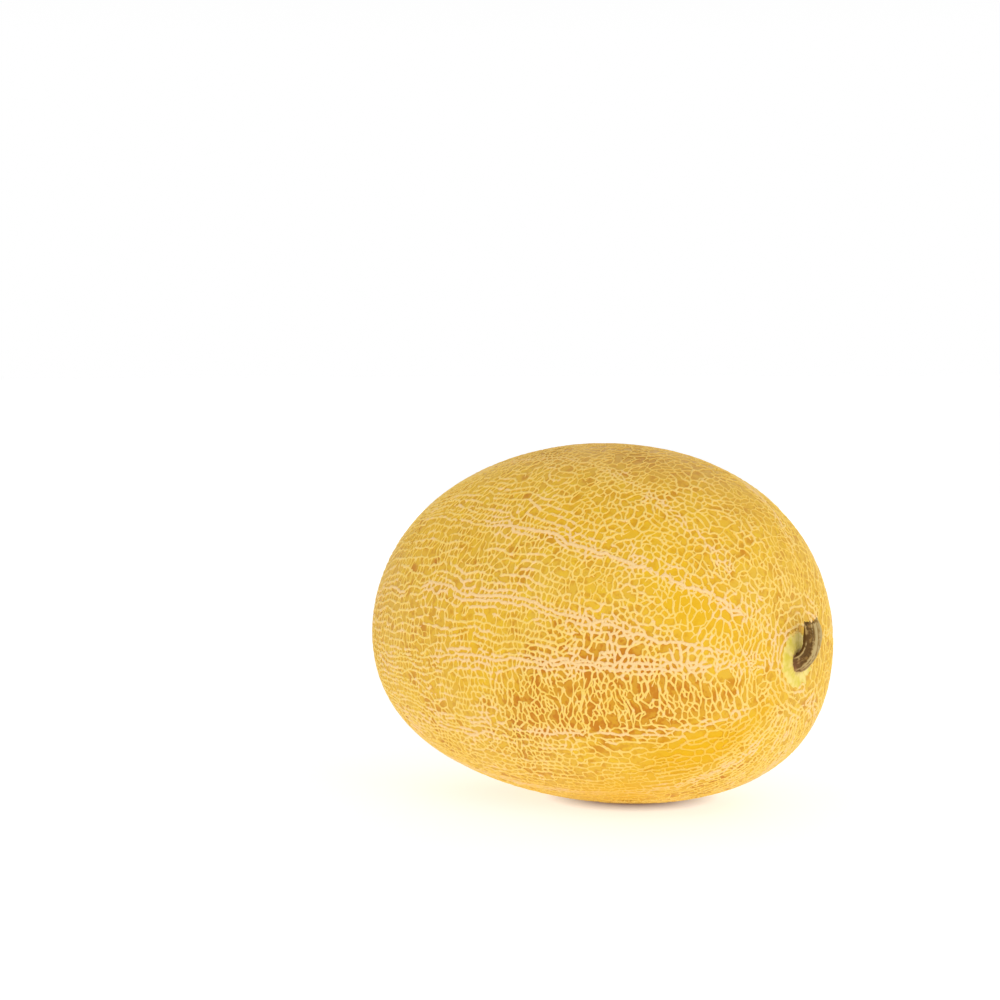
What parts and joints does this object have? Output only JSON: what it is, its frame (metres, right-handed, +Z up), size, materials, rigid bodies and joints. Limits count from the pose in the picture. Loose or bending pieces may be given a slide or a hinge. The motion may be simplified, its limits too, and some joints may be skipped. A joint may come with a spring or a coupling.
{
  "type": "netted yellow melon",
  "caption": "Whole oval netted melon with a golden rind under a raised pale cork net, a pale disc and a bent dried stalk at one end, lying on a small flat spot.",
  "frame": {"origin": "the middle of the flat spot that the fruit rests on", "axes": "+X along the fruit towards its stalk, +Z up, -Y towards the side that carries the strongest veins"},
  "size_m": [0.2524, 0.181, 0.1792],
  "materials": {
    "rind": "golden melon rind with a raised pale cork net, satin",
    "stalk": "dried brown stalk, ribbed, dull"
  },
  "bodies": {
    "root": {"fruit": "rind", "stem": "stalk"}
  },
  "joints": []
}
